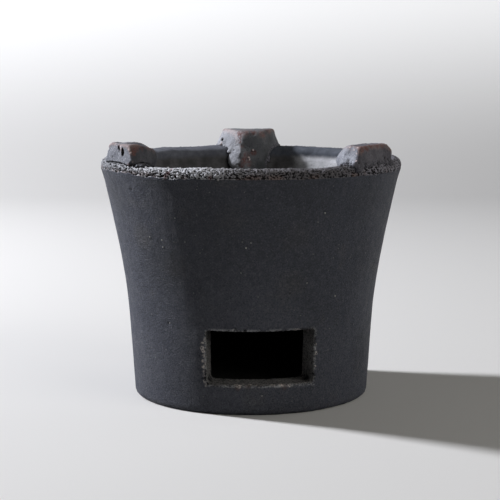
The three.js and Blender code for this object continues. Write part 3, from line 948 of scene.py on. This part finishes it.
def smoked_clay():
    """Slate-grey smoked clay: soot, fine turning lines, grit, specks, raw clay at broken edges, and painted
    shade in its hollows and at the top of the ash door's sides.
    """
    clay = Finish("smoked_clay", 0.35)
    mottle = clay.noise(2.6, detail=7, rough=0.7)
    sand = clay.noise(0.8, detail=4, rough=0.75)
    lay_smoke(clay, mottle)
    clay.lay(clay.ramp(sand, 0.52, 0.36), (0.034, 0.036, 0.043))
    clay.lay(clay.ramp(sand, 0.56, 0.7), (0.165, 0.168, 0.182))
    specks = clay.ramp(clay.cells(2.4), 0.17, 0.1)
    scattered = clay.times(specks, clay.ramp(clay.noise(6, detail=2), 0.6, 0.66))
    clay.lay(scattered, (0.36, 0.35, 0.32), 0.6)
    crumbs = clay.noise(0.9, detail=5, rough=0.7)
    gritty = clay.mix(clay.ramp(crumbs, 0.4, 0.58), (0.05, 0.047, 0.045), (0.34, 0.325, 0.305))
    # Painted shade: the door's sides darker towards its top, under the lintel.
    high = clay.times(clay.ramp(clay.height, 0.033, 0.044), 0.75)
    gritty = clay.mix(high, gritty, (0.03, 0.028, 0.027))
    clay.lay(clay.noted("jamb_share"), gritty)
    chipped = clay.plus(clay.times(clay.noise(4, detail=4), 0.9), clay.times(crumbs, 0.9))
    clay.lay(clay.times(clay.noted("broken_edge"), clay.ramp(chipped, 0.8, 1)), (0.52, 0.51, 0.5))
    clay.lay(clay.times(clay.noted("rust"), clay.ramp(crumbs, 0.34, 0.55)), (0.15, 0.08, 0.052), 0.7)
    raw = clay.times(clay.ramp(clay.noted("raw"), 0.1, 0.8), clay.ramp(crumbs, 0.42, 0.55))
    clay.lay(raw, (0.88, 0.78, 0.7))
    # Painted shade in the hollows of the relief.
    clay.lay(clay.ramp(clay.noted("relief"), -0.35, -1.2), (0.01, 0.01, 0.011))

    clay.raise_by(clay.noise(1.7, detail=2, stretch=(0.05, 0.05, 1)), 0.1)
    clay.raise_by(clay.noise(1.9, detail=2, stretch=(1, 1, 0.12)), 0.08)
    rough = clay.plus(clay.times(clay.ramp(clay.across, 0.01, -0.045), 0.75), 0.5)
    clay.raise_by(clay.times(mottle, rough), 0.65)
    clay.raise_by(clay.times(sand, rough), 0.8)
    return clay.done(clay.ramp(clay.noise(4), -0.9, 1.5))


def fire_colour(clay, *lit_bleach):
    """Baked clay inside the rim: sooty and painted shade to the left, ash-bleached and painted light to the
    right where the lamp falls, and darker deeper down.
    """
    cloud = clay.noise(8, detail=6, rough=0.65)
    side = clay.ramp(clay.plus(clay.across, clay.times(cloud, 0.012)), 0.028, 0.042)
    sooty = clay.mix(clay.ramp(cloud, 0.35, 0.7), (0.072, 0.069, 0.067), (0.138, 0.132, 0.128))
    bleached_and_lit = clay.mix(clay.ramp(cloud, 0.35, 0.7), *lit_bleach)
    baked = clay.mix(side, sooty, bleached_and_lit)
    return clay.mix(clay.ramp(clay.height, 0.098, 0.07), baked, (0.016, 0.015, 0.014))


def torn_clay():
    """Coarse torn clay: pale grains over crevices painted dark as shade, browned below, with slip inside."""
    clay = Finish("torn_grit_clay", 0.25)
    grit = clay.noise(0.6, detail=4, rough=0.7)
    clumps = clay.noise(1.5, detail=2)
    spread = clay.plus(clay.times(grit, 2.6), clay.times(clumps, 3.4))
    grain = clay.plus(clay.noted("relief"), clay.less(spread, 3))
    drift = clay.plus(clay.across, clay.times(clay.noise(12), 0.02))
    pale = clay.mix(clay.ramp(drift, 0.014, -0.032), (0.24, 0.224, 0.224), (0.88, 0.87, 0.87))
    pale = clay.mix(clay.ramp(drift, 0.022, 0.034), pale, (0.178, 0.165, 0.167))
    pale = clay.mix(clay.ramp(drift, 0.052, 0.076), pale, (0.315, 0.298, 0.322))
    crest = clay.times(clay.ramp(clay.height, 0.1252, 0.1268), clay.ramp(clay.across, 0, 0.03))
    pale = clay.mix(clay.times(crest, clay.ramp(clay.depth, -0.04, -0.06)), pale, (0.095, 0.088, 0.088))
    pale = clay.mix(clay.ramp(drift, -0.045, -0.06), pale, (0.42, 0.415, 0.42))
    # Towards the back the pale tops are darker and the painted crevice shade is lighter.
    to_back = clay.ramp(clay.depth, 0, 0.035)
    pale = clay.mix(to_back, pale, (0.165, 0.161, 0.166))
    # Painted shade: crevices between grains darker, by relief and noise.
    shade = clay.ramp(grain, -0.35, 0.42)
    crevice_shade = clay.mix(to_back, CRACK_AND_SHADE_DARK, (0.045, 0.043, 0.046))
    clay.colour = clay.mix(shade, crevice_shade, pale)
    low = clay.ramp(clay.height, 0.1248, 0.1222)
    brown = clay.times(low, clay.ramp(clay.noise(9, detail=4), 0.46, 0.6))
    tinted = clay.mix(shade, (0.02, 0.011, 0.008), (0.27, 0.195, 0.17))
    clay.lay(brown, tinted, 0.75)
    rusty = clay.mix(shade, (0.03, 0.008, 0.006), (0.26, 0.08, 0.062))
    clay.lay(clay.noted("rust"), rusty, 0.85)
    slip = clay.mix(clay.ramp(clay.noise(5), 0.35, 0.7), (0.072, 0.079, 0.092), (0.118, 0.127, 0.146))
    chalky = clay.mix(clay.ramp(clay.noise(5), 0.35, 0.7), (0.118, 0.122, 0.138), (0.188, 0.191, 0.212))
    slip = clay.mix(clay.ramp(clay.across, 0, -0.02), slip, chalky)
    ragged = clay.plus(clay.height, clay.times(clay.noise(3), 0.0016))
    # The baked clay's painted shade and painted light, paler on the coil.
    baked = fire_colour(clay, (0.58, 0.57, 0.57), (0.76, 0.75, 0.75))
    slip = clay.mix(clay.ramp(ragged, FIRE_TOP + 0.0024, FIRE_TOP - 0.0006), slip, baked)
    slip = clay.mix(clay.ramp(clay.radius(), 0.077, 0.0785), slip, (0.045, 0.047, 0.056))
    clay.lay(clay.ramp(clay.noted("grit_share"), 0.3, 0.1), slip)
    clay.lay(clay.noted("seam"), CRACK_AND_SHADE_DARK)
    clay.raise_by(grit, 0.35)
    return clay.done(clay.ramp(clay.noise(3), -2, 1.2))


def lug_clay(side, marks):
    """Pinched clay: smoky grey with painted shade, painted pale as a painted light on the side turned to the
    lamp, worn to terracotta on top, stained, with painted shade in its hollows and pits.
    """
    clay = Finish(f"pinched_clay_{side}", 0.3)
    cloud = clay.noise(7, detail=6)
    shaded_smoky = clay.mix(clay.ramp(cloud, 0.36, 0.68), *marks["shaded_smoky"])
    # Painted shade laid over the dark copy at the marks.
    shaded_smoky = clay.mix(clay.noted("soot"), shaded_smoky, (0.045, 0.047, 0.047))
    pale = clay.mix(clay.ramp(cloud, 0.36, 0.68), *marks["chalky"])
    patch = clay.less(clay.times(clay.noise(2.5), 0.5), 0.25)
    # Painted light and shade: the pale copy on faces turned to the lamp, the dark copy on the rest.
    clay.colour = clay.mix(clay.ramp(clay.plus(clay.noted("key_lit_side"), patch), 0.15, 0.75), shaded_smoky, pale)
    worn = clay.plus(clay.noted("arris"), clay.times(clay.noise(3.5), 0.9))
    clay.lay(clay.ramp(worn, 0.55, 1.1), (0.38, 0.25, 0.21), 0.6)
    blot = clay.ramp(clay.noise(1.6, detail=5), 0.3, 0.58)
    rusty = clay.times(clay.ramp(clay.noted("rust"), 0, 0.8), blot)
    clay.lay(rusty, (0.2, 0.08, 0.062), 0.85)
    # Pale cream clay and painted highlights at the marks.
    clay.lay(clay.ramp(clay.noted("cream"), 0.1, 0.8), (0.78, 0.63, 0.58))
    grit = clay.noise(0.7, detail=5, rough=0.7)
    crumbly = clay.mix(clay.ramp(grit, 0.4, 0.58), (0.02, 0.019, 0.02), (0.215, 0.205, 0.225))
    foot = clay.times(clay.noted("foot"), clay.less(1, clay.noted("key_lit_side")))
    clay.lay(clay.times(foot, clay.ramp(clay.noise(3), 0.38, 0.55)), crumbly)
    porous = clay.ramp(clay.noise(4, detail=2), 0.48, 0.58)
    pores = clay.times(clay.ramp(clay.cells(1.2), 0.26, 0.14), porous)
    clay.lay(pores, (0.03, 0.028, 0.03), 0.75)
    # Pale grit flecks, laid only on faces turned to the lamp: grit and painted glints.
    flecks_and_glints = clay.times(clay.ramp(grit, 0.56, 0.66), clay.noted("key_lit_side"))
    clay.lay(flecks_and_glints, (0.74, 0.73, 0.73), 0.5 + 0.5 * marks["speckled"])
    sunk = clay.mix(clay.noted("key_lit_side"), (0.06, 0.06, 0.06), [0.2 - 0.13 * marks["speckled"]] * 3)
    clay.lay(clay.ramp(grit, 0.43, 0.34), sunk)
    # Painted shade: darker in hollows, between grains and in the pits.
    dark = clay.ramp(clay.plus(clay.noted("relief"), clay.times(grit, 1.6)), 0.05, -0.8)
    clay.lay(dark, (0.02, 0.016, 0.015), 0.8)
    clay.lay(clay.ramp(clay.noted("pit"), 0.15, 0.7), (0.012, 0.006, 0.005))
    clay.lay(clay.noted("seam"), CRACK_AND_SHADE_DARK)
    clay.raise_by(clay.noise(2.2, detail=4), 0.2)
    clay.raise_by(grit, 0.3)
    return clay.done(clay.ramp(cloud, -1.6, 1.2))


def fire_clay():
    """The wall's inner face, dusty and gritty, with the baked clay's painted shade and painted light."""
    clay = Finish("fire_side_clay", 0.2)
    grit = clay.noise(1.3, detail=6, rough=0.75)
    baked = fire_colour(clay, (0.42, 0.415, 0.41), (0.58, 0.57, 0.565))
    clay.colour = clay.mix(clay.ramp(grit, 0.46, 0.3), baked, (0.08, 0.075, 0.072))
    clay.raise_by(grit, 0.3)
    return clay.done(clay.ramp(clay.noise(8), -2.5, 1.2))


def ash_clay(name, dusted, *baked):
    """Baked clay of the hearth, dusted with pale ash in its hollows."""
    clay = Finish(name, 0.2)
    cloud = clay.noise(10, detail=6)
    clay.colour = clay.mix(clay.ramp(cloud, 0.35, 0.68), *baked)
    dust = clay.ramp(clay.plus(clay.noted("relief"), clay.times(cloud, 1.4)), 0.85, 0.3)
    clay.lay(clay.times(dust, dusted), (0.4, 0.385, 0.36))
    grit = clay.noise(1.1, detail=6, rough=0.75)
    clay.lay(clay.ramp(grit, 0.42, 0.28), (0.055, 0.045, 0.04))
    clay.raise_by(grit, 0.3)
    return clay.done(clay.ramp(cloud, -2.5, 1.2))


def quartz():
    """Pale grit stone."""
    clay = Finish("pale_grit_stone", 0.4)
    clay.colour = clay.mix(clay.noise(0.5), (0.38, 0.36, 0.31), (0.62, 0.6, 0.55))
    return clay.done(clay.ramp(clay.noise(0.4), -0.8, 1.8))


def paint(piece, body, slot, nodes, *materials):
    """Gives a piece its finishes, its body and the CAD nodes that it stands for; the record slot is not
    used.
    """
    piece.data.materials.clear()
    for material in materials:
        piece.data.materials.append(material)
    pick(piece)
    bpy.ops.object.shade_smooth()
    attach(piece, body)
    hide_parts(*nodes)


def second_finish(piece, chosen):
    """Gives the chosen faces of a piece its second finish."""
    piece.data.polygons.foreach_set("material_index", chosen.astype(np.int32))
    piece.data.update()


def inner_faces(wall):
    """The faces of the wall that look inwards at the fire."""
    middles, facing = faces_of(wall)
    radius = from_axis(middles)
    inwards = (middles[:, :2] * facing[:, :2]).sum(1) < -0.6 * radius
    return inwards & (radius_at(outline, middles[:, 2]) - radius > INNER_DEPTH)


def skirt_faces(coil):
    """The faces of the coil that are smoothed down over the wall."""
    middles, _ = faces_of(coil)
    outside = on_wall_side(from_axis(middles), middles[:, 2])
    return outside & (middles[:, 2] < smear_height(bearing(middles)) - 0.45 * MM)


def seal(coil, lug, share):
    """Notes the dark crack between the coil and a lug, for the finishes of both."""
    if share:
        near_coil = distance_to(lug, shape_of(coil)[0], CRACK_REACH)
        note(lug, "seam", share * ramp(near_coil, *CRACK))
    return share * ramp(distance_to(coil, shape_of(lug)[0], CRACK_REACH), *CRACK)


def pale_paper():
    """Studio paper: pale to the camera, paler as it rises, and darker to the light that it throws back."""
    paper = Finish("pale_studio_paper", 0.2)
    path = paper.tree.nodes.new("ShaderNodeLightPath")
    seen = paper.most(path.outputs["Is Camera Ray"], path.outputs["Is Transmission Ray"])
    seen = paper.most(seen, path.outputs["Is Glossy Ray"])
    risen = paper.ramp(paper.height, 0, 0.3)
    glow = paper.times(paper.times(seen, risen), BACKDROP_GLOW)
    paper.feed(paper.shader.inputs["Emission Color"], (1, 1, 1))
    paper.feed(paper.shader.inputs["Emission Strength"], glow)
    paper.colour = paper.mix(seen, BOUNCE, paper.mix(risen, PALE_FLOOR, PALE_BACKDROP))
    return paper.done(0.9)


def work_edges(floor, work):
    """Does some work in edit mode on the edge at the floor's far end."""
    in_edit(floor, lambda: bpy.ops.mesh.select_all(action="DESELECT"))
    far = [point.co.y > 0 and point.co.z < MM for point in floor.data.vertices]
    for edge in floor.data.edges:
        edge.select = all(far[end] for end in edge.vertices)
    bpy.ops.object.mode_set(mode="EDIT")
    bpy.ops.mesh.select_mode(type="EDGE")
    work()
    bpy.ops.object.mode_set(mode="OBJECT")


def studio():
    """A pale floor and backdrop, faint air, and the lamps."""
    bpy.ops.object.select_all(action="DESELECT")
    bpy.ops.mesh.primitive_plane_add(size=FLOOR_SIZE, location=(0, BACKDROP_DISTANCE - FLOOR_SIZE / 2, 0))
    floor = bpy.context.object
    floor.name = "studio_floor"
    rise = {"value": (0, 0, FLOOR_SIZE / 2)}
    work_edges(floor, lambda: bpy.ops.mesh.extrude_region_move(TRANSFORM_OT_translate=rise))
    work_edges(floor, lambda: bpy.ops.mesh.bevel(offset=COVE, segments=COVE_STEPS, affect="EDGES"))
    bpy.ops.object.shade_smooth()
    floor.data.materials.append(pale_paper())

    world = bpy.data.worlds.new("studio_air")
    world.use_nodes = True
    air = world.node_tree.nodes["Background"].inputs
    air["Color"].default_value, air["Strength"].default_value = AIR
    bpy.context.scene.world = world

    for settings in LAMPS:
        lamp(*settings)


def lamp(name, place, size, power, colour):
    """A square soft lamp aimed at the stove's middle."""
    data = bpy.data.lights.new(name, "AREA")
    data.color = colour
    data.size = size
    data.energy = power
    thing = put(name, data)
    thing.location = place
    thing.rotation_euler = (LAMP_AIM - Vector(place)).to_track_quat("-Z", "Y").to_euler()


camera = place_camera()
outline = wall_outline()
smoked, fired = smoked_clay(), fire_clay()
torn = torn_clay()
ashy = ash_clay("ash_dusted_clay", 0.8, (0.15, 0.125, 0.108), (0.25, 0.225, 0.2))
# Near-black hearth floor: soot, and painted shade deep inside the stove.
sooty = ash_clay("sooty_hearth_clay", 0, (0.012, 0.012, 0.012), (0.03, 0.028, 0.026))

wall = make_wall()
paint(wall, "stove", "slate_clay", ["stove_wall"], smoked, fired)
second_finish(wall, inner_faces(wall))
coil = make_coil()
paint(make_grains(wall, coil), "stove", "slate_clay", [], quartz())
paint(coil, "stove", "grit_clay", ["rim_coil"], torn, smoked)
second_finish(coil, skirt_faces(coil))

chin = ((-17.4 * MM, 74.5 * MM, 127.8 * MM), (1.1 * MM, 1.2 * MM, 0.9 * MM))
seams = np.zeros(len(coil.data.vertices))
for side, marks, lumps in (("back", BACK_LUG, [chin]), ("left", LEFT_LUG, []), ("right", RIGHT_LUG, [])):
    lug = make_lug(f"kettle_lug_{side}", f"pinched_lug_{side}", marks, coil, lumps)
    seams = np.maximum(seams, seal(coil, lug, marks["seam"]))
    paint(lug, "stove", "lug_clay", [f"kettle_lug_{side}"], lug_clay(side, marks))
note(coil, "seam", seams)

paint(make_hearth("floor_slab", "ash_floor"), "stove", "fired_clay", ["floor_slab"], sooty)
paint(make_hearth("grate_ledge", "grate_ring"), "stove", "fired_clay", ["grate_ledge"], ashy)
paint(make_hearth("fire_grate", "pierced_grate"), "grate", "fired_clay", ["fire_grate"], ashy)

studio()
bpy.context.scene.view_settings.view_transform = "Standard"
